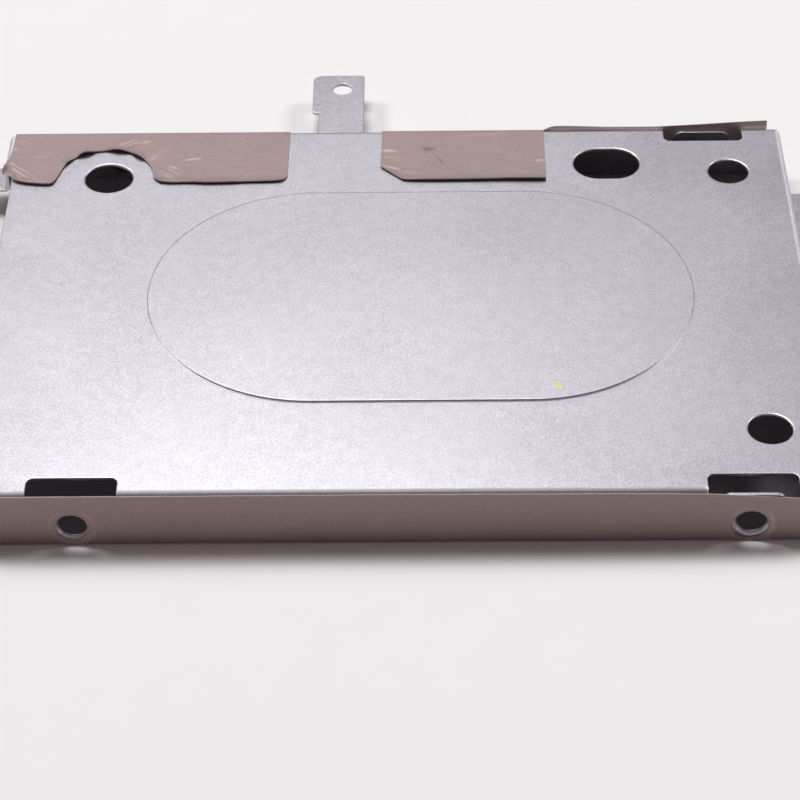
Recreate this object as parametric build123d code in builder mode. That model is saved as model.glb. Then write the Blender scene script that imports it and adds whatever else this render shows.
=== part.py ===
"""Hard drive caddy: one folded sheet of galvanised steel and three strips of fabric tape.

Millimetres, +Z up, front wall towards -Y. The origin is the middle of the outline on the ground.
Distances named with an inset count from the nearest outer face, the others from the first screw hole.
"""
import os

from build123d import *

os.makedirs("parts", exist_ok=True)

# Sheet metal
sheet = 0.4
bend_inner = 0.45
bend_outer = bend_inner + sheet

# Drive screws: the side hole pattern of a 2.5 inch drive
screw_pitch = 76.6
screw_height = 2.8
screw_radius = 1.65
sink_radius = 2.0
sink_angle = 90

# Tray
tray_depth = 70.8
tray_height = 7.4
open_end_reach = 13.25
end_wall_reach = 10.3
corner_gap = 0.4

# Cutouts over the screws and the lugs that stand in them
cutout_width = 10.3
cutout_depth = 3.0
cutout_corner = 0.85
notch_floor = 5.4
lug_width = 7.5
lug_top = 6.9
lug_corner = 1.2

# Raised stadium field
field_length = 66.6
field_margin = 15.0
field_offset_x = 1.1
field_offset_y = 0.8
field_rise = 0.25
field_step = 0.2

# Plate holes
hole_roll = 0.2
left_hole_radius = 3.05
left_hole_x = -0.7
left_hole_inset = 10.4
right_hole_radius = 2.55
front_hole_end_inset = 7.5
front_hole_inset = 10.6
rear_hole_end_inset = 7.7
rear_hole_inset = 9.85
slot_length = 8.45
slot_width = 6.5
slot_end_inset = 23.3
slot_inset = 7.9

# Ears and tab: top of the low level they are bent out to, and the height where their walls start
low_top = 3.5
low_under = low_top - sheet
step_overlap = 1.0
step_start = low_under + bend_outer + step_overlap
wall_end = step_start - step_overlap
lance_top = step_start - step_overlap / 2
relief = 0.6

# Left ear
ear_wall_reach = 14.6
ear_inset = 7.3
ear_width = 4.7
ear_length = 4.4
ear_corner = 0.5

# Right ear
side_ear_inset = 9.6
side_ear_width = 12.0
side_ear_length = 6.0
side_ear_corner = 1.5

# Rear tab
neck_x = 25.8
neck_width = 6.1
head_step = 0.9
head_length = 8.9
tab_length = 18.7
tab_hole_radius = 1.35
tab_hole_x = 28.9
tab_hole_inset = 3.3
tab_corner_large = 1.3
tab_corner_small = 0.5

# Tape
tape = 0.15
tape_lift = 0.2
tape_fold = 0.5
tape_hole_radius = 1.9
tape_hole_shift_x = -0.17
tape_hole_shift_z = -0.2
front_tape_drop_x = 70.0
front_tape_end_top = 6.4
wrap_depth = 11.5
left_tape_end = 22.4
left_tape_start = -13.8
left_tape_corner_x = -14.7
left_tape_corner_inset = 8.8
left_tape_slope_x = -13.1
tear_radius = 6.2
right_tape_start = 34.4
wrap_end = 55.8
right_tape_end_inset = 1.7
right_tape_clip = 2.9
stand_start = 7.5
stand_end = 8.15

# Placement: the outline's middle on the ground is the origin
first_x = ear_wall_reach + ear_length
first_x -= (first_x + screw_pitch + end_wall_reach + side_ear_length) / 2
front_y = tape - (tape + tray_depth + tab_length) / 2
rear_y = front_y + tray_depth
tab_end = rear_y + tab_length
wrap_edge = rear_y - wrap_depth
left_x = first_x - open_end_reach
end_x = first_x + screw_pitch + end_wall_reach
middle_x = first_x + screw_pitch / 2
middle_y = (front_y + rear_y) / 2
plate_under = tray_height - sheet
field_width = tray_depth - 2 * field_margin
bend_start = bend_outer + step_overlap


def strip(plane, points, radius, thickness, side, width):
    """One bent strip: a line with rounded corners, thickened to one side and drawn across a width."""
    with BuildSketch(plane) as section:
        with BuildLine():
            FilletPolyline(*points, radius=radius)
            offset(amount=thickness, side=side)
        make_face()
    extrude(section.sketch, amount=width)


def across_y(y):
    """A plane seen from the front, with +X to the right, whose strips are drawn towards +Y."""
    return Plane(origin=(0, y, 0), x_dir=(1, 0, 0), z_dir=(0, -1, 0))


with BuildPart() as caddy_frame:
    # Plate, front wall and rear wall: one channel, open at the left end
    strip(
        Plane.YZ.offset(left_x),
        [(front_y, 0), (front_y, tray_height), (rear_y, tray_height), (rear_y, 0)],
        bend_outer, sheet, Side.RIGHT, end_x - corner_gap - left_x,
    )

    # End wall, open at both corners
    strip(
        across_y(front_y + bend_outer),
        [(end_x - bend_start, tray_height), (end_x, tray_height), (end_x, 0)],
        bend_outer, sheet, Side.RIGHT, -(tray_depth - 2 * bend_outer),
    )

    # Cutouts through plate and bend over the four screws
    with BuildSketch(Plane.XY.offset(notch_floor)):
        with Locations((middle_x, middle_y)):
            with GridLocations(screw_pitch, tray_depth, 2, 2):
                RectangleRounded(cutout_width, 2 * cutout_depth, cutout_corner)
    extrude(amount=tray_height, mode=Mode.SUBTRACT)

    # Lugs: the walls stand up again in the cutouts, just below the plate
    for wall_y in (front_y, rear_y - sheet):
        with BuildSketch(across_y(wall_y)) as lugs:
            with Locations((middle_x, lug_top)):
                with GridLocations(screw_pitch, 0, 2, 1):
                    Rectangle(lug_width, lug_top - notch_floor + sheet, align=(Align.CENTER, Align.MAX))
            fillet(lugs.vertices().group_by(Axis.Y)[-1], radius=lug_corner)
        extrude(amount=-sheet)

    # Left ear: the plate bends down outside the open end and out again, lower
    ear_wall_x = first_x - ear_wall_reach
    ear_inner_x = ear_wall_x + sheet
    ear_front = rear_y - ear_inset
    strip(
        across_y(ear_front),
        [(left_x + bend_start, tray_height), (ear_wall_x, tray_height), (ear_wall_x, wall_end)],
        bend_outer, sheet, Side.LEFT, -(ear_inset - bend_outer),
    )
    strip(
        across_y(ear_front),
        [(ear_inner_x, step_start), (ear_inner_x, low_under), (ear_wall_x - ear_length, low_under)],
        bend_outer, sheet, Side.RIGHT, -ear_width,
    )
    fillet(caddy_frame.edges().filter_by(Axis.Z).group_by(Axis.X)[0], radius=ear_corner)

    # Right ear: lanced out of the end wall, with a relief on both sides
    side_ear_middle = rear_y - side_ear_inset - side_ear_width / 2
    with BuildSketch(Plane.YZ.offset(end_x)):
        with Locations((side_ear_middle, 0)):
            Rectangle(side_ear_width + 2 * relief, 2 * lance_top)
    extrude(amount=-bend_outer, mode=Mode.SUBTRACT)
    strip(
        across_y(side_ear_middle - side_ear_width / 2),
        [(end_x - sheet, step_start), (end_x - sheet, low_under), (end_x + side_ear_length, low_under)],
        bend_outer, sheet, Side.LEFT, -side_ear_width,
    )
    fillet(caddy_frame.edges().filter_by(Axis.Z).group_by(Axis.X)[-1], radius=side_ear_corner)

    # Rear tab: lanced out of the rear wall, a neck that widens to a head with a screw hole
    neck_middle = first_x + neck_x + neck_width / 2
    with BuildSketch(across_y(rear_y)):
        with Locations((neck_middle, 0)):
            Rectangle(neck_width + 2 * relief, 2 * lance_top)
    extrude(amount=bend_outer, mode=Mode.SUBTRACT)
    strip(
        Plane.YZ.offset(neck_middle - neck_width / 2),
        [(rear_y - sheet, step_start), (rear_y - sheet, low_under), (tab_end - tab_hole_inset, low_under)],
        bend_outer, sheet, Side.LEFT, neck_width,
    )
    with BuildSketch(Plane.XY.offset(low_under)) as head:
        with Locations((first_x + neck_x + neck_width, tab_end)):
            Rectangle(neck_width + head_step, head_length, align=(Align.MAX, Align.MAX))
        fillet(head.vertices().group_by(Axis.Y)[-1].sort_by(Axis.X)[0], radius=tab_corner_large)
        fillet(head.vertices().group_by(Axis.Y)[-1].sort_by(Axis.X)[-1], radius=tab_corner_small)
        fillet(head.vertices().group_by(Axis.Y)[0].sort_by(Axis.X)[0], radius=tab_corner_small)
    extrude(amount=sheet)
    with Locations((first_x + tab_hole_x, tab_end - tab_hole_inset, low_top)):
        Hole(tab_hole_radius, depth=sheet)

    # Raised stadium field: pushed up from below, so it is hollow underneath
    with BuildSketch(Plane.XY.offset(tray_height)):
        with Locations((middle_x + field_offset_x, middle_y + field_offset_y)):
            SlotOverall(field_length, field_width)
    extrude(amount=field_rise)
    with BuildSketch(Plane.XY.offset(plate_under)):
        with Locations((middle_x + field_offset_x, middle_y + field_offset_y)):
            SlotOverall(field_length - 2 * field_step, field_width - 2 * field_step)
    extrude(amount=field_rise, mode=Mode.SUBTRACT)

    # Plate holes: the punch draws their upper rims in
    with Locations((first_x + left_hole_x, rear_y - left_hole_inset, tray_height)):
        Hole(left_hole_radius, depth=sheet)
    fillet(caddy_frame.edges(Select.LAST).group_by(Axis.Z)[-1], radius=hole_roll)
    front_hole = (end_x - front_hole_end_inset, front_y + front_hole_inset, tray_height)
    rear_hole = (end_x - rear_hole_end_inset, rear_y - rear_hole_inset, tray_height)
    with Locations(front_hole, rear_hole):
        Hole(right_hole_radius, depth=sheet)
    fillet(caddy_frame.edges(Select.LAST).group_by(Axis.Z)[-1], radius=hole_roll)
    with BuildSketch(Plane.XY.offset(plate_under)):
        with Locations((end_x - slot_end_inset, rear_y - slot_inset)):
            SlotOverall(slot_length, slot_width)
    extrude(amount=sheet, mode=Mode.SUBTRACT)
    fillet(caddy_frame.edges(Select.LAST).group_by(Axis.Z)[-1], radius=hole_roll)

    # Countersunk drive screw holes in the front and the rear wall
    screw_faces = [
        Plane(origin=(middle_x, front_y, screw_height), x_dir=(1, 0, 0), z_dir=(0, -1, 0)),
        Plane(origin=(middle_x, rear_y, screw_height), x_dir=(-1, 0, 0), z_dir=(0, 1, 0)),
    ]
    for face in screw_faces:
        with Locations(face):
            with GridLocations(screw_pitch, 0, 2, 1):
                CounterSinkHole(screw_radius, sink_radius, depth=sheet, counter_sink_angle=sink_angle)

# Front tape: flat on the front wall, its top edge sinks towards the end wall
with BuildPart() as front_tape:
    with BuildSketch(across_y(front_y)):
        with BuildLine():
            Polyline(
                (left_x, tape_lift),
                (end_x - bend_outer, tape_lift),
                (end_x - bend_outer, front_tape_end_top),
                (first_x + front_tape_drop_x, tray_height),
                (left_x, tray_height),
                close=True,
            )
        make_face()
        with Locations((middle_x + tape_hole_shift_x, screw_height + tape_hole_shift_z)):
            with GridLocations(screw_pitch, 0, 2, 1):
                Circle(tape_hole_radius, mode=Mode.SUBTRACT)
    extrude(amount=tape)

# Rear left tape: on the rear wall and over the bend onto the plate, torn around the left hole
with BuildPart() as rear_left_tape:
    strip(
        Plane.YZ.offset(first_x + left_tape_start),
        [(rear_y, tape_lift), (rear_y, tray_height), (wrap_edge, tray_height)],
        tape_fold, tape, Side.RIGHT, left_tape_end - left_tape_start,
    )
    with BuildSketch(Plane.XY.offset(tray_height)):
        with BuildLine():
            Polyline(
                (first_x + left_tape_start, rear_y - bend_outer),
                (first_x + left_tape_corner_x, rear_y - left_tape_corner_inset),
                (first_x + left_tape_slope_x, wrap_edge),
                (first_x, wrap_edge),
                (first_x, rear_y - bend_outer),
                close=True,
            )
        make_face()
    extrude(amount=tape)
    with BuildSketch(Plane.XY.offset(tray_height)):
        with BuildLine():
            Polyline(
                (first_x + left_tape_corner_x, rear_y - left_tape_corner_inset),
                (first_x + left_tape_slope_x, wrap_edge),
                (first_x + left_tape_corner_x, wrap_edge),
                close=True,
            )
        make_face()
        with Locations((first_x + left_hole_x, rear_y - left_hole_inset)):
            Circle(tear_radius)
    extrude(amount=tape, mode=Mode.SUBTRACT)

# Rear right tape: its left part folds onto the plate, its right part stands up past the plate
with BuildPart() as rear_right_tape:
    strip(
        Plane.YZ.offset(first_x + right_tape_start),
        [(rear_y, tape_lift), (rear_y, tray_height), (wrap_edge, tray_height)],
        tape_fold, tape, Side.RIGHT, wrap_end - right_tape_start,
    )
    with BuildSketch(across_y(rear_y)):
        with BuildLine():
            Polyline(
                (first_x + wrap_end, tape_lift),
                (end_x - right_tape_end_inset, tape_lift),
                (end_x - right_tape_end_inset, stand_end),
                (first_x + wrap_end, stand_start),
                close=True,
            )
        make_face()
    extrude(amount=-tape)
    wrap_corner = rear_right_tape.edges().filter_by(Axis.Z).group_by(Axis.Y)[0].sort_by(Axis.X)[0]
    chamfer(wrap_corner, length=right_tape_clip)

pieces = {
    "caddy_frame": caddy_frame,
    "front_tape": front_tape,
    "rear_left_tape": rear_left_tape,
    "rear_right_tape": rear_right_tape,
}
for name, piece in pieces.items():
    piece.part.label = name
    export_step(piece.part, "parts/" + name + ".step")
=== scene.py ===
"""Hard drive caddy: steel and tape finishes, the three tape strips, and a plain table under soft light.

Lengths inside the shapes are in millimetres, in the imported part's own frame, and become metres in the mesh.
A strip of tape is worked out flat first: x along the tray, s up the wall, over the fold and on to the plate.
"""
import math

import bmesh
import bpy
import numpy as np
from mathutils import Matrix, Vector


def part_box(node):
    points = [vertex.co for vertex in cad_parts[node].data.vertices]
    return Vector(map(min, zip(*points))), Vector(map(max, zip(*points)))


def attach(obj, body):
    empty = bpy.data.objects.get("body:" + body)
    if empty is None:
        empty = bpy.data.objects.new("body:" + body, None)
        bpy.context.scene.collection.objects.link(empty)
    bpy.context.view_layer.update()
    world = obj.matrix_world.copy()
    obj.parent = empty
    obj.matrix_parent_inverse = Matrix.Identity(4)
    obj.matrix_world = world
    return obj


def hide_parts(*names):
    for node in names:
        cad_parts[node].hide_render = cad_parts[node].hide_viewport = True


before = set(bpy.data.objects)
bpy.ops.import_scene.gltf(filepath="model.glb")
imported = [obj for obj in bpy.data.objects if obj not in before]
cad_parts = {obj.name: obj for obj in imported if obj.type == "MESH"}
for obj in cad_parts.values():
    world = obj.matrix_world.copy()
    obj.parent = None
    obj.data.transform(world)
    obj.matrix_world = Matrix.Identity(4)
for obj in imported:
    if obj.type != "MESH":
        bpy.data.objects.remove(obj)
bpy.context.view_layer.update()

bl_info = {
    "name": "Hard Drive Caddy",
    "version": (1, 0, 0),
    "blender": (4, 5, 0),
    "location": "View3D > Sidebar > Caddy",
    "description": "Finishes, tape strips and stage of a folded steel drive caddy",
    "category": "Object",
}

MM = 0.001
UV_PER_MM = 0.01


def node_box(name):
    """Lowest and highest corner of a CAD node, in millimetres."""
    low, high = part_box(name)
    return [value / MM for value in low], [value / MM for value in high]


STEEL_LOW, STEEL_HIGH = node_box("caddy_frame")
FRONT_LOW, FRONT_HIGH = node_box("front_tape")
LEFT_LOW, LEFT_HIGH = node_box("rear_left_tape")
RIGHT_LOW, RIGHT_HIGH = node_box("rear_right_tape")

FRONT_FACE = FRONT_HIGH[1]
TAPE = FRONT_FACE - FRONT_LOW[1]
REAR_FACE = LEFT_HIGH[1] - TAPE
PLATE_TOP = FRONT_HIGH[2]
TAPE_FOOT = FRONT_LOW[2]
BEND = 0.85
SCREW_HEIGHT = 2.8
SCREW_PITCH = 76.6
FIRST_SCREW = STEEL_LOW[0] + 19.0
END_FACE = FIRST_SCREW + SCREW_PITCH + 10.3
STICK = 0.02


# Sizes and colours that a user would change

class CaddySizes(bpy.types.PropertyGroup):
    """Sizes of the tape's cloth and of the steel's grain."""
    tape_thickness: bpy.props.FloatProperty(
        name="Tape thickness", description="Thickness of the cloth tape",
        default=TAPE * MM, min=0.00005, max=0.0005, precision=5, unit="LENGTH")
    tape_cell: bpy.props.FloatProperty(
        name="Tape mesh cell", description="Side of one mesh cell on the tape",
        default=0.14 * MM, min=0.00005, max=0.001, precision=5, unit="LENGTH")
    thread_pitch: bpy.props.FloatProperty(
        name="Thread pitch", description="Distance between neighbouring threads of the tape",
        default=0.2 * MM, min=0.00005, max=0.001, precision=5, unit="LENGTH")
    edge_lift: bpy.props.FloatProperty(
        name="Edge lift", description="How far the tape's free edges have come up, as a share of the real ones",
        default=1.0, min=0.0, max=1.5, subtype="FACTOR")
    grain_size: bpy.props.FloatProperty(
        name="Grain size", description="Size of the speckle in the steel's zinc",
        default=0.24 * MM, min=0.00005, max=0.002, precision=5, unit="LENGTH")


class CaddyColours(bpy.types.PropertyGroup):
    """Colours of the finishes and of the table."""
    steel: bpy.props.FloatVectorProperty(
        name="Steel", description="Zinc surface of the sheet",
        default=(0.545, 0.527, 0.548), min=0.0, max=1.0, subtype="COLOR")
    tape: bpy.props.FloatVectorProperty(
        name="Tape", description="Threads of the tape",
        default=(0.38, 0.285, 0.272), min=0.0, max=1.0, subtype="COLOR")
    crease_wear_and_painted_light: bpy.props.FloatVectorProperty(
        name="Crease wear and painted light", description="Tape rubbed pale along its creases",
        default=(0.62, 0.52, 0.47), min=0.0, max=1.0, subtype="COLOR")
    smudge_and_shade: bpy.props.FloatVectorProperty(
        name="Smudge and painted shade", description="Dirt on the rear tape, and painted shade low on the front tape",
        default=(0.13, 0.075, 0.06), min=0.0, max=1.0, subtype="COLOR")
    dot: bpy.props.FloatVectorProperty(
        name="Paint dot", description="Small dot of paint on the raised field",
        default=(0.80, 0.72, 0.13), min=0.0, max=1.0, subtype="COLOR")
    table: bpy.props.FloatVectorProperty(
        name="Table", description="Pale table under the caddy",
        default=(0.90, 0.895, 0.90), min=0.0, max=1.0, subtype="COLOR")
    card: bpy.props.FloatVectorProperty(
        name="Shade card", description="Dark card under the tray, painted shade that keeps its holes dark",
        default=(0.05, 0.045, 0.052), min=0.0, max=1.0, subtype="COLOR")


# Shader helpers

class Shader:
    """A node tree that is built from left to right."""

    def __init__(self, tree):
        self.tree = tree
        self.tree.nodes.clear()

    def add(self, kind, settings=None, **inputs):
        """One node, with its settings, and its inputs set to values or linked to sockets."""
        made = self.tree.nodes.new(kind)
        made.location = (210 * len(self.tree.nodes), 0)
        for name, value in (settings or {}).items():
            setattr(made, name, value)
        for name, value in inputs.items():
            self.put(made, name.replace("_", " "), value)
        return made

    def put(self, made, name, value):
        """Sets one input by name or number, or links a socket to it."""
        socket = made.inputs[name]
        if isinstance(value, bpy.types.NodeSocket):
            self.tree.links.new(value, socket)
        elif socket.type == "RGBA" and len(value) == 3:
            socket.default_value = (*value, 1.0)
        else:
            socket.default_value = value

    def math(self, operation, first, second=0.0, clamp=False):
        """A math node on two values, and its output."""
        made = self.add("ShaderNodeMath", {"operation": operation, "use_clamp": clamp})
        self.put(made, 0, first)
        self.put(made, 1, second)
        return made.outputs[0]

    def blend(self, factor, first, second):
        """A colour mix, and its output."""
        made = self.add("ShaderNodeMix", {"data_type": "RGBA"})
        for number, value in ((0, factor), (6, first), (7, second)):
            self.put(made, number, value)
        return made.outputs[2]

    def ramp(self, value, low, high, start=0.0, end=1.0):
        """Smooth step from start to end while value goes from low to high."""
        made = self.add("ShaderNodeMapRange", {"interpolation_type": "SMOOTHSTEP"})
        for number, level in enumerate((value, low, high, start, end)):
            self.put(made, number, level)
        return made.outputs[0]

    def noise(self, vector, scale, detail=2.0, roughness=0.5, distortion=0.0):
        """Noise on a vector, and its factor."""
        made = self.add("ShaderNodeTexNoise", Vector=vector, Scale=scale, Detail=detail,
                        Roughness=roughness, Distortion=distortion)
        return made.outputs["Fac"]

    def stretch(self, vector, scale, turn=0.0):
        """The vector turned about Z and scaled on each axis."""
        made = self.add("ShaderNodeMapping", {"vector_type": "POINT"}, Vector=vector,
                        Rotation=(0.0, 0.0, turn), Scale=scale)
        return made.outputs[0]


def effect_group(name, inputs, outputs):
    """A new shader node group with float or vector sockets; returns its shader, inputs and output node."""
    tree = bpy.data.node_groups.new(name, "ShaderNodeTree")
    for label, kind, default in inputs:
        socket = tree.interface.new_socket(label, in_out="INPUT", socket_type=kind)
        if default is not None:
            socket.default_value = default
    for label in outputs:
        tree.interface.new_socket(label, in_out="OUTPUT", socket_type="NodeSocketFloat")
    shader = Shader(tree)
    source = shader.add("NodeGroupInput")
    target = tree.nodes.new("NodeGroupOutput")
    return shader, source.outputs, target


def speckle_group():
    """Fine speckle with softer patches: used by the steel, the tape's cut edge and the table."""
    if "Fine speckle" in bpy.data.node_groups:
        return bpy.data.node_groups["Fine speckle"]
    shader, given, target = effect_group(
        "Fine speckle",
        [("Vector", "NodeSocketVector", None), ("Scale", "NodeSocketFloat", 3300.0)],
        ["Speckle", "Patches"])
    fine = shader.noise(given["Vector"], given["Scale"], 3.0, 0.66)
    wide = shader.noise(given["Vector"], shader.math("MULTIPLY", given["Scale"], 0.16), 3.0, 0.55)
    shader.put(target, "Speckle", shader.ramp(fine, 0.3, 0.7))
    shader.put(target, "Patches", shader.ramp(wide, 0.3, 0.7))
    return shader.tree


def weave_group():
    """Plain weave on a flat map: used by the tape's face and its cut edge."""
    if "Plain weave" in bpy.data.node_groups:
        return bpy.data.node_groups["Plain weave"]
    shader, given, target = effect_group(
        "Plain weave",
        [("Vector", "NodeSocketVector", None), ("Threads", "NodeSocketFloat", 500.0)],
        ["Height", "Warp"])
    scaled = shader.add("ShaderNodeVectorMath", {"operation": "SCALE"}, Vector=given["Vector"],
                        Scale=given["Threads"])
    parts = shader.add("ShaderNodeSeparateXYZ", Vector=scaled.outputs[0])
    lines = []
    for axis in ("X", "Y"):
        half_turn = shader.math("MULTIPLY", parts.outputs[axis], math.pi)
        lines.append(shader.math("ABSOLUTE", shader.math("SINE", half_turn)))
    cells = shader.math("ADD", shader.math("FLOOR", parts.outputs["X"]), shader.math("FLOOR", parts.outputs["Y"]))
    over = shader.math("FLOORED_MODULO", cells, 2.0)
    under = shader.math("SUBTRACT", 1.0, over)
    warp = shader.math("MULTIPLY", lines[0], shader.math("MULTIPLY", over, lines[1]))
    weft = shader.math("MULTIPLY", lines[1], shader.math("MULTIPLY", under, lines[0]))
    shader.put(target, "Height", shader.math("ADD", warp, weft))
    shader.put(target, "Warp", over)
    return shader.tree


def new_material(name):
    """An empty material that uses nodes, its shader and its Principled BSDF."""
    material = bpy.data.materials.new(name)
    material.use_nodes = True
    shader = Shader(material.node_tree)
    surface = shader.add("ShaderNodeBsdfPrincipled")
    result = shader.add("ShaderNodeOutputMaterial")
    shader.put(result, "Surface", surface.outputs[0])
    return material, shader, surface


def steel_material(sizes, colours):
    """Zinc-coated sheet: fine speckle, cloudy patches, faint rolling lines, bright rounded edges with painted
    highlight, and painted shade on the front bend.
    """
    material, shader, surface = new_material("galvanised steel")
    place = shader.add("ShaderNodeTexCoord").outputs["Object"]
    grain = shader.add("ShaderNodeGroup", {"node_tree": speckle_group()}, Vector=place,
                       Scale=1.0 / sizes.grain_size)
    cloud = shader.ramp(shader.noise(place, 45.0, 3.0), 0.32, 0.68)
    lines = shader.noise(shader.stretch(place, (60.0, 2600.0, 60.0)), 1.0, 2.0)

    # Rounded edges: the surface's own bevel, and how far it turns from the flat face
    edge = shader.add("ShaderNodeBevel", {"samples": 12}, Radius=0.17 * MM)
    flat = shader.add("ShaderNodeNewGeometry").outputs["Normal"]
    turned = shader.add("ShaderNodeVectorMath", {"operation": "DOT_PRODUCT"})
    shader.put(turned, 0, edge.outputs[0])
    shader.put(turned, 1, flat)
    rounded_edge_turn = shader.ramp(turned.outputs["Value"], 0.99, 0.75)

    # The bend over the front wall is rougher and darkened with painted shade, apart from the lug; the other bends are
    # made paler with painted highlight
    parts = shader.add("ShaderNodeSeparateXYZ", Vector=place)
    front = shader.ramp(parts.outputs["Y"], (FRONT_FACE + 1.0) * MM, (FRONT_FACE + 0.7) * MM)
    lug = shader.math("MULTIPLY", shader.ramp(parts.outputs["X"], 34.0 * MM, 34.5 * MM),
                      shader.ramp(parts.outputs["Z"], 5.2 * MM, 5.6 * MM))
    front = shader.math("MULTIPLY", front, shader.math("SUBTRACT", 1.0, lug))
    high = shader.ramp(parts.outputs["Z"], 5.6 * MM, 6.2 * MM)
    end = shader.math("MAXIMUM", shader.ramp(parts.outputs["X"], (END_FACE - 0.9) * MM, (END_FACE - 0.4) * MM),
                      shader.ramp(parts.outputs["X"], (LEFT_LOW[0] + 1.35) * MM, (LEFT_LOW[0] + 0.85) * MM))
    end = shader.math("MULTIPLY", end, high)

    dark = [value * 0.75 for value in colours.steel]
    pale = [min(1.0, value * 1.25) for value in colours.steel]
    tone = shader.math("ADD", shader.math("MULTIPLY", grain.outputs["Speckle"], 0.68),
                       shader.math("MULTIPLY", grain.outputs["Patches"], 0.18))
    tone = shader.math("ADD", tone, shader.math("MULTIPLY", cloud, 0.14), clamp=True)
    colour = shader.blend(tone, dark, pale)
    zones = shader.ramp(shader.noise(place, 95.0, 2.0), 0.42, 0.66, 0.0, 0.24)
    colour = shader.blend(zones, colour, (0.475, 0.475, 0.535))
    rear = shader.ramp(parts.outputs["Y"], 25.5 * MM, 25.9 * MM)
    rear = shader.math("MULTIPLY", rear, high)
    # Painted highlight: the end and rear bends are made paler, and so are the rounded edges, where it is partly rubbing
    bends = shader.math("MAXIMUM", shader.math("MULTIPLY", end, 0.36), shader.math("MULTIPLY", rear, 0.75))
    rubbed_and_painted_highlight = shader.math("MAXIMUM", shader.math("MULTIPLY", rounded_edge_turn, 0.5), bends)
    colour = shader.blend(rubbed_and_painted_highlight, colour, (0.84, 0.81, 0.86))
    # Painted shade: the front bend's colour is darkened, and the bend is made rougher
    matt_painted_shade_front_bend = shader.math("MULTIPLY", front, high)
    colour = shader.blend(shader.math("MULTIPLY", matt_painted_shade_front_bend, 0.62), colour, (0.14, 0.12, 0.12))

    # The countersinks are darkened towards the hole with painted shade
    aside = shader.math("SUBTRACT", parts.outputs["X"], (FIRST_SCREW + SCREW_PITCH / 2) * MM)
    aside = shader.math("SUBTRACT", shader.math("ABSOLUTE", aside), SCREW_PITCH / 2 * MM)
    above = shader.math("SUBTRACT", parts.outputs["Z"], 2.8 * MM)
    centre = shader.math("SQRT", shader.math("ADD", shader.math("MULTIPLY", aside, aside),
                                             shader.math("MULTIPLY", above, above)))
    countersink_painted_shade = shader.math("MULTIPLY", shader.ramp(centre, 1.92 * MM, 1.72 * MM, 0.0, 0.6),
                        shader.ramp(parts.outputs["Z"], 5.2 * MM, 5.0 * MM))
    colour = shader.blend(countersink_painted_shade, colour, (0.1, 0.09, 0.1))

    # Dot of paint on the raised field
    reach = shader.add("ShaderNodeVectorMath", {"operation": "DISTANCE"})
    shader.put(reach, 0, place)
    shader.put(reach, 1, (18.48 * MM, -26.4 * MM, 7.65 * MM))
    ragged = shader.math("ADD", reach.outputs["Value"],
                         shader.math("MULTIPLY", shader.noise(place, 2600.0, 2.0), 0.16 * MM))
    dot = shader.ramp(ragged, 0.6 * MM, 0.36 * MM, 0.0, 0.9)
    colour = shader.blend(dot, colour, colours.dot)

    rough = shader.math("ADD", 0.33, shader.math("MULTIPLY", grain.outputs["Speckle"], 0.03))
    rough = shader.math("ADD", rough, shader.math("MULTIPLY", cloud, 0.03))
    rough = shader.math("ADD", rough, shader.math("MULTIPLY", shader.math("MAXIMUM", matt_painted_shade_front_bend, end), 0.22))
    shader.put(surface, "Base Color", colour)
    shader.put(surface, "Roughness", shader.math("ADD", rough, shader.math("MULTIPLY", dot, 0.2)))
    shader.put(surface, "Metallic", shader.math("SUBTRACT", 1.0, dot))

    height = shader.math("ADD", shader.math("MULTIPLY", grain.outputs["Speckle"], 0.5),
                         shader.math("MULTIPLY", grain.outputs["Patches"], 0.8))
    height = shader.math("ADD", height, shader.math("MULTIPLY", lines, 0.2))
    height = shader.math("ADD", height, shader.math("MULTIPLY", dot, 2.0))
    bump = shader.add("ShaderNodeBump", Strength=0.3, Distance=0.008 * MM, Height=height,
                      Normal=edge.outputs[0])
    shader.put(surface, "Normal", bump.outputs[0])
    return material


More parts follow.
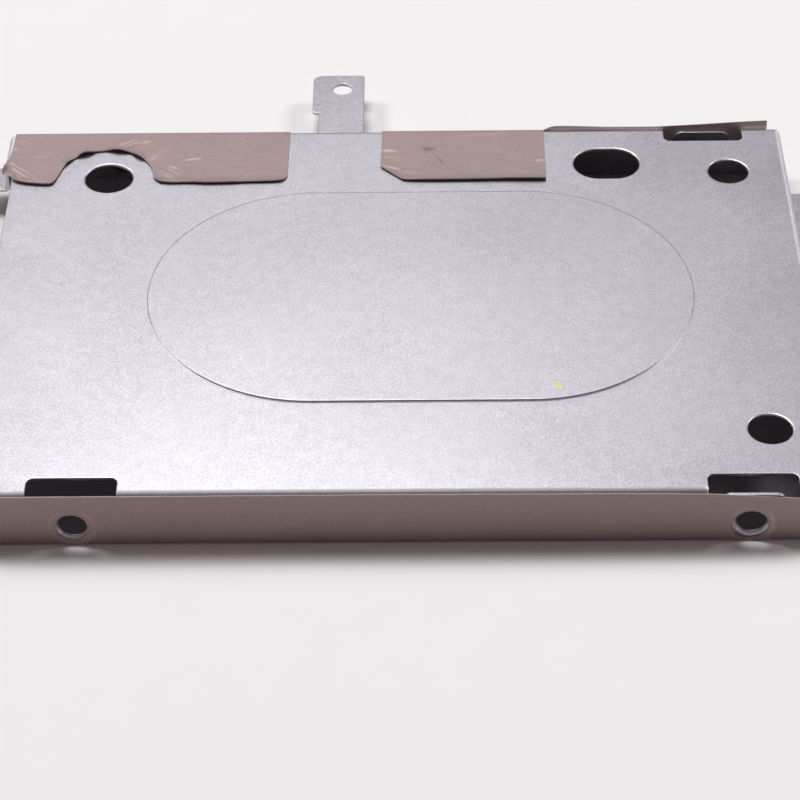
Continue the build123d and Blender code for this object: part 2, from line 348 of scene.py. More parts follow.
def tape_material(sizes, colours, kind):
    """Woven metal-coated tape: its face, or its cut edge with loose thread ends."""
    material, shader, surface = new_material("woven tape " + kind)
    place = shader.add("ShaderNodeTexCoord").outputs["Object"]
    flat_map = shader.add("ShaderNodeUVMap", {"uv_map": "flat"}).outputs[0]
    threads = MM / sizes.thread_pitch / UV_PER_MM
    weave = shader.add("ShaderNodeGroup", {"node_tree": weave_group()}, Vector=flat_map, Threads=threads)
    grain = shader.add("ShaderNodeGroup", {"node_tree": speckle_group()}, Vector=place, Scale=2400.0)
    crease_wear_and_painted_light = shader.add("ShaderNodeAttribute", {"attribute_name": "crease_wear_and_painted_light"}).outputs["Fac"]
    dirt_and_shade = shader.add("ShaderNodeAttribute", {"attribute_name": "dirt_and_shade"}).outputs["Fac"]
    cloud = shader.ramp(shader.noise(place, 160.0, 3.0, 0.6), 0.3, 0.7)
    streak = shader.noise(shader.stretch(flat_map, (30.0, 420.0, 1.0)), 1.0, 3.0, 0.6)

    shade = [value * 0.72 for value in colours.tape]
    light = [min(1.0, value * 1.12) for value in colours.tape]
    tone = shader.math("ADD", shader.math("MULTIPLY", weave.outputs["Height"], 0.28),
                       shader.math("MULTIPLY", grain.outputs["Speckle"], 0.3))
    tone = shader.math("ADD", tone, shader.math("MULTIPLY", cloud, 0.2))
    tone = shader.math("ADD", tone, shader.math("MULTIPLY", streak, 0.22), clamp=True)
    colour = shader.blend(tone, shade, light)
    warp_tint = shader.math("MULTIPLY", weave.outputs["Warp"], 0.08)
    colour = shader.blend(warp_tint, colour, (0.40, 0.34, 0.34))
    # Paler where the first mask is laid: rubbed creases and pale marks, plus painted highlight and painted light where
    # the tape curls or stands in shade
    rubbed_and_painted_light = shader.math("MULTIPLY", crease_wear_and_painted_light, shader.ramp(weave.outputs["Height"], 0.0, 0.6, 0.55, 1.0))
    colour = shader.blend(shader.math("MULTIPLY", rubbed_and_painted_light, 0.85), colour, colours.crease_wear_and_painted_light)
    # Darker where the second mask is laid: smudges of dirt, and painted shade low on the front tape
    broken = shader.math("MULTIPLY", dirt_and_shade, shader.ramp(grain.outputs["Speckle"], 0.1, 0.7, 0.6, 1.0))
    colour = shader.blend(broken, colour, colours.smudge_and_shade)
    if kind == "edge":
        ends = shader.ramp(shader.noise(shader.stretch(place, (5200.0, 5200.0, 900.0)), 1.0, 2.0), 0.35, 0.65)
        colour = shader.blend(shader.math("MULTIPLY", ends, 0.5), colour, shade)
    shader.put(surface, "Base Color", colour)

    rough = shader.math("ADD", 0.5, shader.math("MULTIPLY", cloud, 0.1))
    rough = shader.math("SUBTRACT", rough, shader.math("MULTIPLY", rubbed_and_painted_light, 0.12))
    shader.put(surface, "Roughness", rough)
    surface.inputs["Metallic"].default_value = 0.35
    surface.inputs["Sheen Weight"].default_value = 0.15
    surface.inputs["Sheen Roughness"].default_value = 0.5

    wrinkle = shader.noise(shader.stretch(flat_map, (120.0, 260.0, 1.0), 0.4), 1.0, 3.0, 0.55, 0.6)
    height = shader.math("ADD", weave.outputs["Height"], shader.math("MULTIPLY", wrinkle, 1.6))
    bump = shader.add("ShaderNodeBump", Strength=0.35, Distance=0.03 * MM, Height=height)
    shader.put(surface, "Normal", bump.outputs[0])
    return material


def shade_card_material(colours):
    """A dark card that lies under the tray: painted shade for its hollow, with a faint painted glow."""
    material, shader, surface = new_material("painted shade card")
    place = shader.add("ShaderNodeTexCoord").outputs["Object"]
    grain = shader.add("ShaderNodeGroup", {"node_tree": speckle_group()}, Vector=place, Scale=1500.0)
    pale = [value * 1.5 for value in colours.card]
    shader.put(surface, "Base Color", shader.blend(grain.outputs["Patches"], colours.card, pale))
    surface.inputs["Roughness"].default_value = 0.9
    surface.inputs["Specular IOR Level"].default_value = 0.1
    # A faint pink glow from the card: painted light in the hollow under the tray
    surface.inputs["Emission Color"].default_value = (1.0, 0.84, 0.96, 1.0)
    surface.inputs["Emission Strength"].default_value = 0.013
    return material


def table_material(colours):
    """Matt white table board with a faint tooth."""
    material, shader, surface = new_material("pale table")
    place = shader.add("ShaderNodeTexCoord").outputs["Object"]
    grain = shader.add("ShaderNodeGroup", {"node_tree": speckle_group()}, Vector=place, Scale=900.0)
    tone = shader.math("MULTIPLY", grain.outputs["Patches"], 0.5)
    colour = shader.blend(tone, colours.table, [value * 0.985 for value in colours.table])
    shader.put(surface, "Base Color", colour)
    surface.inputs["Roughness"].default_value = 0.85
    surface.inputs["Specular IOR Level"].default_value = 0.2
    bump = shader.add("ShaderNodeBump", Strength=0.15, Distance=0.01 * MM, Height=grain.outputs["Speckle"])
    shader.put(surface, "Normal", bump.outputs[0])
    return material


# Shapes of the tape

def soften(points, times=3):
    """Cuts the corners of an open line, as a pair of scissors rounds them; its ends stay."""
    line = np.array(points, float)
    for _ in range(times):
        near = line[:-1] * 0.75 + line[1:] * 0.25
        far = line[:-1] * 0.25 + line[1:] * 0.75
        middle = np.empty((2 * len(near), line.shape[1]))
        middle[0::2] = near
        middle[1::2] = far
        line = np.vstack([line[:1], middle, line[-1:]])
    return line


def spread(line, shares):
    """Points on a line at the given shares of its length in plan."""
    steps = np.hypot(*np.diff(line[:, :2], axis=0).T)
    reach = np.concatenate([[0.0], np.cumsum(steps)])
    return np.stack([np.interp(shares * reach[-1], reach, part) for part in line.T], axis=1)


def plan_length(line):
    """Length of a line in plan."""
    return float(np.hypot(*np.diff(line[:, :2], axis=0).T).sum())


def near_strokes(x, s, strokes):
    """How near each flat point is to any of the strokes, from 0 to 1; each is (x, s, x, s, half width, force)."""
    mask = np.zeros_like(x)
    for x0, s0, x1, s1, width, force in strokes:
        run = np.array([x1 - x0, s1 - s0])
        share = np.clip(((x - x0) * run[0] + (s - s0) * run[1]) / (run @ run), 0.0, 1.0)
        away = np.hypot(x - x0 - share * run[0], s - s0 - share * run[1])
        fade = np.sin(np.pi * np.clip(share, 0.08, 0.92)) ** 0.5
        mask = np.maximum(mask, force * fade * np.exp(-(away / width) ** 2))
    return mask


def ripples(x, s, size):
    """Gentle unevenness of a hand-laid strip."""
    wave = np.sin(0.9 * x + 1.3 * s) + np.sin(2.1 * x - 0.7 * s + 1.0) + np.sin(0.37 * x + 2.9 * s + 2.0)
    return size * wave / 3.0


def flat_grid(name, columns, rows):
    """A new grid, and for each of its vertices the share along it and the share up it."""
    bpy.ops.object.select_all(action="DESELECT")
    bpy.ops.mesh.primitive_grid_add(x_subdivisions=columns, y_subdivisions=rows, size=1.0)
    piece = bpy.context.object
    piece.name = name
    piece.data.name = name
    places = np.empty(3 * len(piece.data.vertices))
    piece.data.vertices.foreach_get("co", places)
    places = places.reshape(-1, 3)
    return piece, places[:, 0] + 0.5, places[:, 1] + 0.5


def set_places(piece, places):
    """Moves the vertices to places in millimetres."""
    piece.data.vertices.foreach_set("co", (places * MM).astype(np.float32).ravel())
    piece.data.update()


def get_places(piece):
    """Places of the vertices, in millimetres."""
    places = np.empty(3 * len(piece.data.vertices))
    piece.data.vertices.foreach_get("co", places)
    return places.reshape(-1, 3) / MM


def punch(piece, x, s, radius):
    """Cuts a round hole in a piece that still lies flat, and draws the cut edge on to the circle."""
    mesh = bmesh.new()
    mesh.from_mesh(piece.data)
    centre = Vector((x * MM, s * MM, 0.0))
    reach = radius * MM
    inside = [face for face in mesh.faces if (face.calc_center_median() - centre).length < reach]
    rim = {vert for face in inside for vert in face.verts}
    bmesh.ops.delete(mesh, geom=inside, context="FACES")
    for vert in rim:
        if vert.is_valid:
            away = vert.co - centre
            vert.co = centre + away.normalized() * reach
    mesh.to_mesh(piece.data)
    mesh.free()


def keep_flat_map(piece):
    """Stores the flat places as the map that the weave follows."""
    flat = get_places(piece)
    layer = piece.data.uv_layers.new(name="flat")
    corners = np.empty(len(piece.data.loops), int)
    piece.data.loops.foreach_get("vertex_index", corners)
    layer.data.foreach_set("uv", (flat[corners, :2] * UV_PER_MM + 0.6).astype(np.float32).ravel())
    for spare in [other for other in piece.data.uv_layers if other.name != "flat"]:
        piece.data.uv_layers.remove(spare)
    return flat[:, 0], flat[:, 1]


def keep_mask(piece, name, mask):
    """Stores a mask from 0 to 1 on the vertices."""
    layer = piece.data.attributes.new(name, "FLOAT", "POINT")
    layer.data.foreach_set("value", np.clip(mask, 0.0, 1.0).astype(np.float32))


def wall_run():
    """Flat height where the wall ends and the fold starts."""
    return PLATE_TOP - BEND - TAPE_FOOT


def fold_run():
    """Flat length of the fold."""
    return (BEND + STICK) * math.pi / 2


def flat_height(inset):
    """Flat height of a point on the plate that lies so far in from the wall's face."""
    return wall_run() + fold_run() + inset - BEND


def round_the_fold(s):
    """Height, distance in from the rear face and the two parts of the normal, at flat heights s."""
    turn = np.clip((s - wall_run()) / (BEND + STICK), 0.0, math.pi / 2)
    rise = np.clip(s, None, wall_run())
    past = np.clip(s - wall_run() - fold_run(), 0.0, None)
    inset = BEND - (BEND + STICK) * np.cos(turn) + past
    height = TAPE_FOOT + rise + (BEND + STICK) * np.sin(turn)
    return height, inset, np.cos(turn), np.sin(turn)


def edge_lift(x, s, edge, reach):
    """Curl of a free edge: edge holds (x, s, lift) points, and the curl dies out over reach."""
    lift = np.zeros_like(x)
    close = s > edge[:, 1].min() - reach - 0.5
    away = np.hypot(x[close, None] - edge[None, :, 0], s[close, None] - edge[None, :, 1])
    nearest = away.argmin(axis=1)
    share = np.clip(1.0 - away[np.arange(len(nearest)), nearest] / reach, 0.0, 1.0)
    lift[close] = edge[nearest, 2] * share ** 2
    return lift


def finish_tape(context, piece, node, materials, flip=False):
    """Gives the sheet its thickness and finish and puts it in the CAD strip's place."""
    bpy.ops.object.select_all(action="DESELECT")
    piece.select_set(True)
    context.view_layer.objects.active = piece
    if flip:
        bpy.ops.object.mode_set(mode="EDIT")
        bpy.ops.mesh.select_all(action="SELECT")
        bpy.ops.mesh.flip_normals()
        bpy.ops.object.mode_set(mode="OBJECT")
    thick = piece.modifiers.new("thickness", "SOLIDIFY")
    thick.thickness = context.scene.caddy_sizes.tape_thickness
    thick.offset = 1.0
    thick.use_even_offset = False
    thick.material_offset_rim = 1
    for material in materials:
        piece.data.materials.append(material)
    bpy.ops.object.modifier_apply(modifier=thick.name)
    bpy.ops.object.shade_smooth_by_angle(angle=math.radians(50))
    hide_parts(node)
    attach(piece, "root")


def tape_materials(context):
    """Face and cut edge finishes, made once."""
    made = []
    for kind in ("face", "edge"):
        found = bpy.data.materials.get("woven tape " + kind)
        if found is None:
            found = tape_material(context.scene.caddy_sizes, context.scene.caddy_colours, kind)
        made.append(found)
    return made


# Operators

class CADDY_OT_steel(bpy.types.Operator):
    """Put the galvanised finish on the folded steel sheet"""
    bl_idname = "caddy.steel"
    bl_label = "Steel Finish"
    bl_options = {"REGISTER", "UNDO"}

    def execute(self, context):
        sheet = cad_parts["caddy_frame"]
        material = steel_material(context.scene.caddy_sizes, context.scene.caddy_colours)
        sheet.data.materials.clear()
        sheet.data.materials.append(material)
        return {"FINISHED"}


class CADDY_OT_front_tape(bpy.types.Operator):
    """Lay the strip of tape on the front wall, with its two punched screw holes"""
    bl_idname = "caddy.front_tape"
    bl_label = "Front Tape"
    bl_options = {"REGISTER", "UNDO"}

    def execute(self, context):
        sizes = context.scene.caddy_sizes
        cell = sizes.tape_cell / MM
        first, last = FRONT_LOW[0], FRONT_HIGH[0]
        height = PLATE_TOP - TAPE_FOOT
        piece, along, up = flat_grid("front_tape_cloth", int((last - first) / cell), int(height / cell))
        x = first + along * (last - first)
        top_x = [first, -44.0, -30.0, 0.0, 26.0, 34.6, 39.6, 44.8, last]
        top_z = [7.38, 7.41, 7.40, 7.44, 7.36, 7.18, 6.87, 6.44, 6.2]
        s = up * (np.interp(x, top_x, top_z) + ripples(x, x * 0, 0.02) - TAPE_FOOT)
        set_places(piece, np.stack([x, s, x * 0], axis=1))
        holes = [
            (FIRST_SCREW - 0.19, SCREW_HEIGHT - 0.02, 1.8),
            (FIRST_SCREW + SCREW_PITCH - 0.16, SCREW_HEIGHT - 0.3, 2.03),
        ]
        for hole_x, hole_z, radius in holes:
            punch(piece, hole_x, hole_z - TAPE_FOOT, radius)
        x, s = keep_flat_map(piece)
        z = TAPE_FOOT + s
        away = STICK + np.abs(ripples(x, s, 0.03))
        away += 0.05 * np.clip((z - 6.2) / 1.2, 0.0, 1.0) ** 2
        crease_wear_and_painted_light = np.zeros_like(x)
        # A little darker all over, and darker towards the foot: painted shade where the wall meets the shaded table
        dirt_and_shade = 0.1 + 0.4 * np.exp(-(s / 0.8) ** 2)
        for number, (hole_x, hole_z, radius) in enumerate(holes):
            apart = np.hypot(x - hole_x, z - hole_z)
            turn = np.arctan2(z - hole_z, x - hole_x)
            away += 0.07 * np.exp(-((apart - 2.45) / 0.22) ** 2)
            away -= 0.03 * np.exp(-((apart - radius) / 0.2) ** 2)
            ring = np.exp(-((apart - 2.5) / 0.12) ** 2) * (0.2 + 0.2 * np.sin(3 * turn + number))
            specks = np.sin(17 * turn + 2.0 * number) * np.sin(31 * turn + 9.0 * apart)
            side = np.clip(np.cos(turn - (-0.75 if number == 0 else 0.1)), 0.0, 1.0) ** 3
            crease_wear_and_painted_light = np.maximum(crease_wear_and_painted_light, ring)
            residue = side * np.clip(0.45 + 1.3 * specks, 0.0, 1.0) * np.exp(-((apart - 2.6) / 0.33) ** 2)
            crease_wear_and_painted_light = np.maximum(crease_wear_and_painted_light, residue)
            # Darker along the lower rim of each hole
            low = np.clip(-1.3 * np.sin(turn + 0.2), 0.0, 1.0)
            dirt_and_shade = np.maximum(dirt_and_shade, low * (0.5 + 0.5 * number) * np.exp(-((apart - radius) / 0.3) ** 2))
        keep_mask(piece, "crease_wear_and_painted_light", crease_wear_and_painted_light)
        keep_mask(piece, "dirt_and_shade", dirt_and_shade)
        set_places(piece, np.stack([x, FRONT_FACE - away, z], axis=1))
        finish_tape(context, piece, "front_tape", tape_materials(context))
        return {"FINISHED"}


class CADDY_OT_rear_left_tape(bpy.types.Operator):
    """Fold the left strip over the rear edge, torn round the plate hole and loose at its corner"""
    bl_idname = "caddy.rear_left_tape"
    bl_label = "Rear Left Tape"
    bl_options = {"REGISTER", "UNDO"}

    # Free edge: place along the tray, distance in from the rear face, and lift off the plate
    free_edge = [
        (-51.9, 7.6, 0.0), (-51.5, 8.1, 0.0), (-50.9, 9.1, 0.05), (-50.25, 10.4, 0.28), (-49.8, 11.25, 0.24),
        (-48.0, 11.75, 0.24), (-46.0, 12.0, 0.22), (-45.0, 11.95, 0.22), (-44.6, 11.4, 0.2), (-44.2, 9.9, 0.06),
        (-43.75, 8.1, 0.06), (-43.45, 7.5, 0.3), (-43.0, 6.95, 0.3), (-42.5, 6.25, 0.05), (-42.1, 5.9, 0.06),
        (-41.6, 5.7, 0.55), (-41.0, 5.5, 0.66), (-40.4, 5.2, 0.45), (-39.8, 4.75, 0.06), (-38.7, 4.55, 0.05),
        (-37.9, 4.6, 0.25), (-37.0, 4.85, 0.6), (-36.1, 4.95, 0.42), (-35.3, 5.0, 0.08), (-34.6, 5.8, 0.5),
        (-33.9, 6.35, 0.5), (-33.3, 6.65, 0.1), (-32.6, 7.7, 0.08), (-32.15, 8.9, 0.06), (-32.0, 10.2, 0.08),
        (-31.6, 11.1, 0.2), (-30.9, 11.65, 0.25), (-29.5, 11.8, 0.16), (-27.5, 11.7, 0.18), (-25.5, 11.9, 0.24),
        (-22.5, 11.9, 0.25), (-20.0, 11.7, 0.15), (-17.5, 11.7, 0.22), (-15.6, 11.6, 0.2), (-14.9, 11.2, 0.12),
        (-14.62, 10.4, 0.05),
    ]

    # Creases: both ends as place along the tray and distance in, half width, and force; each is lifted a little and
    # made paler, partly as rubbed wear and partly as painted highlight
    creases = [
        (-51.0, 7.7, -48.6, 9.8, 0.16, 0.8), (-50.5, 8.5, -48.0, 10.4, 0.14, 0.6), (-50.1, 9.3, -48.6, 10.9, 0.1, 0.5),
        (-47.9, 6.0, -45.5, 5.1, 0.2, 0.35), (-50.9, 2.2, -49.0, 2.4, 0.25, 0.35), (-50.8, 4.1, -50.1, 4.0, 0.2, 0.6),
        (-49.5, 11.4, -45.4, 11.5, 0.3, 0.45), (-37.1, 3.5, -34.8, 1.9, 0.18, 0.6), (-36.4, 3.9, -34.2, 2.3, 0.15, 0.5),
        (-33.9, 2.7, -33.0, 2.4, 0.25, 0.7), (-32.6, 6.7, -31.9, 5.7, 0.35, 0.6), (-31.9, 5.7, -30.6, 4.3, 0.22, 0.3),
        (-28.1, 6.8, -25.9, 6.25, 0.13, 0.9), (-30.3, 8.4, -28.2, 10.2, 0.12, 0.6), (-29.9, 8.0, -28.9, 8.6, 0.2, 0.8),
        (-31.2, 8.9, -29.1, 10.6, 0.12, 0.5), (-30.8, 9.9, -28.6, 11.2, 0.14, 0.5), (-41.9, 5.1, -39.4, 3.6, 0.3, 0.25),
        (-30.6, 11.3, -27.5, 11.4, 0.25, 0.4), (-50.9, 6.9, -48.2, 9.3, 0.08, 0.9), (-50.2, 7.6, -47.4, 9.9, 0.07, 0.7),
        (-51.5, 8.0, -50.0, 10.3, 0.1, 0.9), (-49.8, 11.0, -45.0, 11.75, 0.12, 0.9), (-47.6, 10.6, -45.6, 11.2, 0.08, 0.6),
    ]

    def execute(self, context):
        sizes = context.scene.caddy_sizes
        cell = sizes.tape_cell / MM
        edge = soften(self.free_edge, 2)
        edge[:, 1] = flat_height(edge[:, 1])
        edge[:, 2] *= sizes.edge_lift
        columns = int(plan_length(edge) / cell)
        foot, fold = wall_run(), wall_run() + fold_run()
        low_rows, high_rows = int(fold / cell / 2.5), int(10.0 / cell)
        piece, along, up = flat_grid("rear_left_tape_cloth", columns, low_rows + high_rows)
        split = low_rows / (low_rows + high_rows)
        along_edge = spread(edge, along)
        start, end = LEFT_LOW[0] + 0.95, LEFT_HIGH[0]
        shadow = 0.6 * (along_edge[:, 0]) + 0.4 * (edge[0, 0] + along * (edge[-1, 0] - edge[0, 0]))
        wall_x = start + (shadow - edge[0, 0]) * (end - start) / (edge[-1, 0] - edge[0, 0])
        low_share = np.clip(up / split, 0.0, 1.0)
        high_share = np.clip((up - split) / (1.0 - split), 0.0, 1.0)
        late = 1.0 + 4.0 * np.exp(-((wall_x - start) / 1.2) ** 2)
        x = wall_x + (along_edge[:, 0] - wall_x) * high_share ** late
        s = fold * low_share + (along_edge[:, 1] - fold) * high_share
        fray = 0.035 * np.sin(9.0 * along_edge[:, 0]) * np.sin(23.0 * along_edge[:, 1] + 1.0)
        s += fray * high_share ** 6
        set_places(piece, np.stack([x, s, x * 0], axis=1))
        x, s = keep_flat_map(piece)
        z, inset, out_y, out_z = round_the_fold(s)
        strokes = [(x0, flat_height(q0), x1, flat_height(q1), w, f) for x0, q0, x1, q1, w, f in self.creases]
        crease_wear_and_painted_light = near_strokes(x, s, strokes)
        on_plate = np.clip((s - fold) / 1.5, 0.0, 1.0)
        lift = STICK * 0.5 + np.abs(ripples(x, s, 0.035)) * on_plate
        lift += 0.07 * crease_wear_and_painted_light * on_plate
        fine = spread(edge, np.linspace(0.0, 1.0, 600))
        lift += edge_lift(x, s, fine, 1.5)
        lift += 0.1 * np.exp(-((x - start) / 0.8) ** 2) * np.clip((s - fold) / 2.0, 0.0, 1.0)
        keep_mask(piece, "crease_wear_and_painted_light", crease_wear_and_painted_light)
        keep_mask(piece, "dirt_and_shade", 0.3 * np.exp(-(s / 0.5) ** 2))
        y = REAR_FACE - inset + out_y * lift
        z = z + out_z * lift
        # The loose corner hangs over the bend of the ear, which ends 7.3 in from the rear face
        past = np.clip((-50.35 - x) + 0.25 * np.clip(inset - 8.6, 0.0, 1.0), 0.0, None)
        loose = np.clip((inset - 7.2) / 0.7, 0.0, 1.0)
        z -= loose * (0.75 * past + 0.1 * past ** 2)
        z -= (1.0 - loose) * 0.28 * np.clip(-50.65 - x, 0.0, None)
        set_places(piece, np.stack([x, y, z], axis=1))
        finish_tape(context, piece, "rear_left_tape", tape_materials(context), flip=True)
        return {"FINISHED"}


class CADDY_OT_rear_right_tape(bpy.types.Operator):
    """Fold the right strip's left part over the rear edge and leave its right part standing"""
    bl_idname = "caddy.rear_right_tape"
    bl_label = "Rear Right Tape"
    bl_options = {"REGISTER", "UNDO"}

    cut_x = 18.8
    free_edge = [
        (-2.6, 8.6, 0.1), (-1.9, 9.3, 0.12), (-0.4, 10.8, 0.1), (0.1, 11.35, 0.12), (0.8, 11.6, 0.2),
        (3.0, 11.65, 0.26), (6.0, 11.7, 0.3), (10.0, 11.65, 0.28), (13.0, 11.6, 0.32), (16.0, 11.65, 0.4),
        (18.3, 11.7, 0.38), (18.72, 11.55, 0.3),
    ]
    standing_edge = [
        (18.85, 7.3, 0.0), (19.2, 7.45, 0.0), (20.1, 7.68, 0.0), (22.0, 7.7, 0.0), (24.2, 7.66, 0.0),
        (27.0, 7.52, 0.0), (31.0, 7.45, 0.0), (34.0, 7.47, 0.0), (37.0, 7.68, 0.0), (41.0, 7.92, 0.0),
        (45.0, 8.07, 0.0), (48.25, 8.17, 0.0),
    ]
    # Creases, as on the left strip; those at the left end are painted highlight where the strip curls up
    creases = [
        (-2.45, 4.8, -0.6, 5.05, 0.25, 0.95), (-2.4, 8.3, -0.1, 9.1, 0.22, 0.85), (-2.3, 6.2, 0.4, 6.6, 0.3, 0.3),
        (-0.4, 9.6, 2.5, 10.0, 0.2, 0.3), (17.4, 7.3, 18.7, 7.3, 0.22, 0.6), (8.0, 1.6, 13.5, 1.3, 0.2, 0.3),
        (0.6, 11.3, 4.0, 11.3, 0.25, 0.3), (12.4, 4.8, 12.9, 5.4, 0.2, 0.2),
    ]
    smudges = [
        (3.0, 4.45, 3.9, 4.9, 0.32, 1.0), (3.5, 4.35, 4.5, 4.7, 0.16, 0.8), (3.1, 5.2, 3.5, 5.4, 0.3, 0.6),
        (4.2, 5.5, 4.7, 6.5, 0.12, 0.35), (4.8, 6.7, 5.6, 7.9, 0.14, 0.7), (7.9, 4.2, 8.2, 4.3, 0.2, 0.4),
    ]

    def wrapped_part(self, context, cell):
        """The part that is folded on to the plate, still flat, and its free edge."""
        edge = soften(self.free_edge, 2)
        edge[:, 1] = flat_height(edge[:, 1])
        edge[:, 2] *= context.scene.caddy_sizes.edge_lift
        fold = wall_run() + fold_run()
        wall_rows, fold_rows, plate_rows = int(wall_run() / cell / 2.5), int(fold_run() / cell / 1.5), int(10.6 / cell)
        rows = wall_rows + fold_rows + plate_rows
        piece, along, up = flat_grid("rear_right_tape_cloth", int(21.4 / cell), rows)
        level = up * rows
        along_edge = spread(edge, along)
        wall_x = RIGHT_LOW[0] + 0.1 + along * (self.cut_x - RIGHT_LOW[0] - 0.1)
        wall_share = np.clip(level / wall_rows, 0.0, 1.0)
        fold_share = np.clip((level - wall_rows) / fold_rows, 0.0, 1.0)
        plate_share = np.clip((level - wall_rows - fold_rows) / plate_rows, 0.0, 1.0)
        x = wall_x + (along_edge[:, 0] - wall_x) * plate_share
        s = wall_run() * wall_share + fold_run() * fold_share + (along_edge[:, 1] - fold) * plate_share
        set_places(piece, np.stack([x, s, x * 0], axis=1))
        return piece, edge, wall_rows

    def standing_part(self, cell, wall_rows):
        """The part that stands straight up, still flat."""
        edge = soften(self.standing_edge, 2)
        top_rows = int(1.6 / cell)
        rows = wall_rows + top_rows
        start, end = self.cut_x, RIGHT_HIGH[0]
        piece, along, up = flat_grid("standing_part", int((end - start) / cell), rows)
        level = up * rows
        x = start + along * (end - start)
        top = np.interp(x, edge[:, 0], edge[:, 1]) - TAPE_FOOT
        wall_share = np.clip(level / wall_rows, 0.0, 1.0)
        top_share = np.clip((level - wall_rows) / top_rows, 0.0, 1.0)
        s = wall_run() * wall_share + (top - wall_run()) * top_share
        set_places(piece, np.stack([x, s, x * 0], axis=1))
        return piece

    def execute(self, context):
        cell = context.scene.caddy_sizes.tape_cell / MM
        piece, edge, wall_rows = self.wrapped_part(context, cell)
        standing = self.standing_part(cell, wall_rows)
        x, s = keep_flat_map(piece)
        z, inset, out_y, out_z = round_the_fold(s)
        fold = wall_run() + fold_run()
        strokes = [(x0, flat_height(q0), x1, flat_height(q1), w, f) for x0, q0, x1, q1, w, f in self.creases]
        spots = [(x0, flat_height(q0), x1, flat_height(q1), w, f) for x0, q0, x1, q1, w, f in self.smudges]
        crease_wear_and_painted_light = near_strokes(x, s, strokes)
        on_plate = np.clip((s - fold) / 1.5, 0.0, 1.0)
        lift = STICK * 0.5 + np.abs(ripples(x, s, 0.03)) * on_plate
        lift += 0.08 * crease_wear_and_painted_light * on_plate
        lift += edge_lift(x, s, spread(edge, np.linspace(0.0, 1.0, 400)), 1.5)
        keep_mask(piece, "crease_wear_and_painted_light", crease_wear_and_painted_light)
        keep_mask(piece, "dirt_and_shade", np.maximum(near_strokes(x, s, spots), 0.3 * np.exp(-(s / 0.5) ** 2)))
        set_places(piece, np.stack([x, REAR_FACE - inset + out_y * lift, z + out_z * lift], axis=1))

        x, s = keep_flat_map(standing)
        z = TAPE_FOOT + s
        free = np.clip((z - PLATE_TOP + BEND) / BEND, 0.0, 2.0)
        near_cut = np.exp(-((x - self.cut_x) / 0.9) ** 2)
        out = STICK * 0.5 + 0.06 * free ** 2 - 0.28 * near_cut * np.clip(free, 0.0, 1.0) ** 2
        out += 0.05 * np.sin(0.42 * x + 0.6) * free
        # Painted light: the whole standing part is made paler because its face is turned from the lamps, with a paler
        # line just above the plate
        keep_mask(standing, "crease_wear_and_painted_light", 0.92 + 0.08 * np.exp(-((z - PLATE_TOP - 0.5) / 0.2) ** 2))
        keep_mask(standing, "dirt_and_shade", 0.3 * np.exp(-(s / 0.5) ** 2))
        set_places(standing, np.stack([x, REAR_FACE + out, z], axis=1))

        bpy.ops.object.select_all(action="DESELECT")
        standing.select_set(True)
        piece.select_set(True)
        context.view_layer.objects.active = piece
        bpy.ops.object.join()
        seam = bmesh.new()
        seam.from_mesh(piece.data)
        bmesh.ops.remove_doubles(seam, verts=seam.verts, dist=0.012 * MM)
        seam.to_mesh(piece.data)
        seam.free()
        finish_tape(context, piece, "rear_right_tape", tape_materials(context), flip=True)
        return {"FINISHED"}


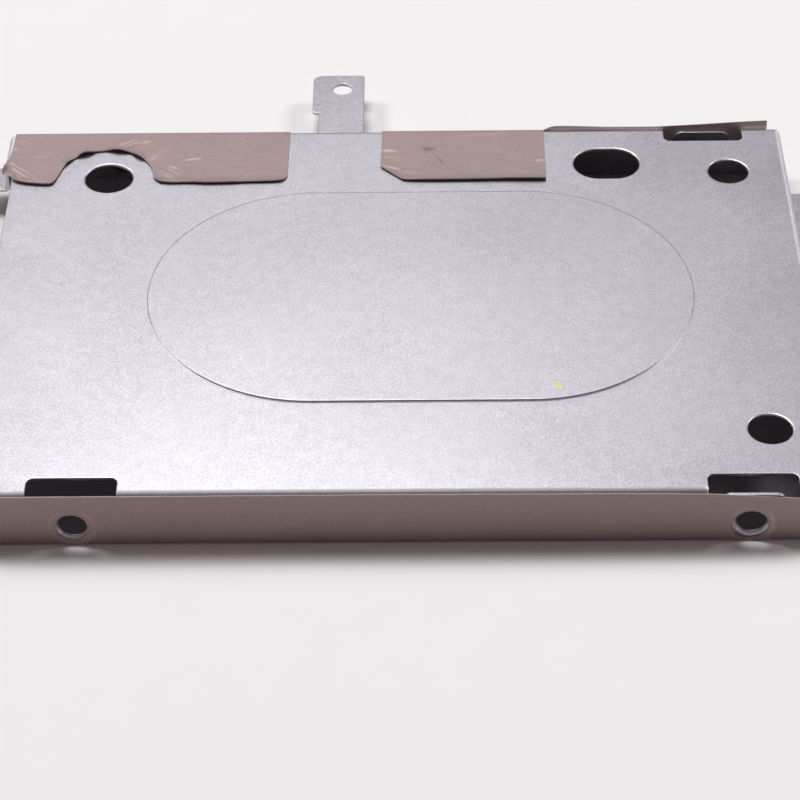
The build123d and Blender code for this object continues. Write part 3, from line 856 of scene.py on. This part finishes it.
class CADDY_OT_stage(bpy.types.Operator):
    """Set up the pale table, the three soft lights, the fill and the camera"""
    bl_idname = "caddy.stage"
    bl_label = "Table, Lights and Camera"
    bl_options = {"REGISTER", "UNDO"}

    def softbox(self, name, direction, distance, width, height, share):
        """An area light that faces the caddy from a direction and gives the table a share of its light."""
        towards = Vector(direction).normalized()
        bpy.ops.object.light_add(type="AREA", location=towards * distance)
        lamp = bpy.context.object
        lamp.name = name
        lamp.rotation_euler = towards.to_track_quat("Z", "Y").to_euler()
        lamp.data.shape = "RECTANGLE"
        lamp.data.size = width
        lamp.data.size_y = height
        lamp.data.energy = math.pi * math.pi * distance ** 2 * share / towards.z
        return lamp

    def execute(self, context):
        colours = context.scene.caddy_colours
        bpy.ops.object.select_all(action="DESELECT")
        bpy.ops.mesh.primitive_grid_add(x_subdivisions=8, y_subdivisions=8, size=6.0, location=(0.0, 0.0, 0.0))
        table = context.object
        table.name = "table"
        table.data.materials.append(table_material(colours))

        # A dark card under the tray, hidden by it: painted shade for the hollow seen through the holes
        low, high = FIRST_SCREW - 13.0, FIRST_SCREW + SCREW_PITCH + 9.8
        front, rear = FRONT_FACE + 0.45, REAR_FACE - 0.45
        bpy.ops.mesh.primitive_grid_add(x_subdivisions=8, y_subdivisions=8, size=1.0)
        card = context.object
        card.name = "painted shade card"
        places = get_places(card) * MM
        places[:, 0] = low + (places[:, 0] + 0.5) * (high - low)
        places[:, 1] = front + (places[:, 1] + 0.5) * (rear - front)
        places[:, 2] = 0.02
        set_places(card, places)
        card.data.materials.append(shade_card_material(colours))

        self.softbox("overhead softbox", (-0.14, 0.34, 1.0), 2.0, 0.78, 0.62, 0.45)
        self.softbox("left softbox", (-0.88, 0.50, 1.0), 2.0, 0.44, 0.50, 0.19)
        self.softbox("right softbox", (1.08, 0.50, 1.0), 2.0, 0.44, 0.50, 0.17)
        self.softbox("back card", (-0.11, 0.80, 1.0), 1.5, 0.26, 0.32, 0.055)
        self.softbox("rear card", (0.14, 1.45, 1.0), 1.5, 0.26, 0.20, 0.003)

        world = bpy.data.worlds.new("room")
        context.scene.world = world
        world.use_nodes = True
        shader = Shader(world.node_tree)
        rays = shader.add("ShaderNodeLightPath")
        seen = shader.math("MAXIMUM", rays.outputs["Is Camera Ray"], rays.outputs["Is Transmission Ray"])
        level = shader.ramp(rays.outputs["Is Glossy Ray"], 0.0, 1.0, 0.14, 0.28)
        level = shader.math("MAXIMUM", level, shader.math("MULTIPLY", seen, 0.88))
        plain = shader.math("MAXIMUM", rays.outputs["Is Glossy Ray"], seen)
        tint = shader.blend(plain, (1.0, 0.8, 0.83), (1.0, 0.93, 1.15))
        tint = shader.blend(seen, tint, (1.02, 0.98, 1.0))
        light = shader.add("ShaderNodeBackground", Color=tint, Strength=level)
        shader.put(shader.add("ShaderNodeOutputWorld"), "Surface", light.outputs[0])

        bpy.ops.object.camera_add(location=Vector((2.410, -262.140, 208.087)) * MM)
        camera = context.object
        camera.name = "camera"
        yaw, pitch, roll = -0.010418, 0.70985, -0.013827
        ahead = Vector((math.sin(yaw) * math.cos(pitch), math.cos(yaw) * math.cos(pitch), -math.sin(pitch)))
        level_right = Vector((math.cos(yaw), -math.sin(yaw), 0.0))
        level_up = level_right.cross(ahead)
        right = level_right * math.cos(roll) + level_up * math.sin(roll)
        up = level_up * math.cos(roll) - level_right * math.sin(roll)
        camera.rotation_euler = Matrix((right, up, -ahead)).transposed().to_euler()
        camera.data.sensor_width = 36.0
        camera.data.lens = 2647.5 / 800 * 36.0
        camera.data.clip_start = 0.01
        camera.data.dof.use_dof = False
        context.scene.camera = camera
        context.scene.view_settings.view_transform = "Standard"
        return {"FINISHED"}


class CADDY_PT_panel(bpy.types.Panel):
    """Sidebar panel that lists the caddy's pieces"""
    bl_label = "Hard Drive Caddy"
    bl_idname = "CADDY_PT_panel"
    bl_space_type = "VIEW_3D"
    bl_region_type = "UI"
    bl_category = "Caddy"

    def draw(self, context):
        layout = self.layout
        for group in (context.scene.caddy_sizes, context.scene.caddy_colours):
            box = layout.box()
            for name in group.__annotations__:
                box.prop(group, name)
        for operator in OPERATORS:
            layout.operator(operator.bl_idname)


OPERATORS = (
    CADDY_OT_stage,
    CADDY_OT_steel,
    CADDY_OT_front_tape,
    CADDY_OT_rear_left_tape,
    CADDY_OT_rear_right_tape,
)
CLASSES = (CaddySizes, CaddyColours, *OPERATORS, CADDY_PT_panel)


def register():
    """Registers the classes and the scene's settings."""
    for item in CLASSES:
        bpy.utils.register_class(item)
    bpy.types.Scene.caddy_sizes = bpy.props.PointerProperty(type=CaddySizes)
    bpy.types.Scene.caddy_colours = bpy.props.PointerProperty(type=CaddyColours)


def unregister():
    """Takes the settings and the classes away again."""
    del bpy.types.Scene.caddy_colours
    del bpy.types.Scene.caddy_sizes
    for item in reversed(CLASSES):
        bpy.utils.unregister_class(item)


def main():
    """Builds the scene."""
    register()
    bpy.ops.caddy.stage()
    bpy.ops.caddy.steel()
    bpy.ops.caddy.front_tape()
    bpy.ops.caddy.rear_left_tape()
    bpy.ops.caddy.rear_right_tape()


if __name__ == "__main__":
    main()
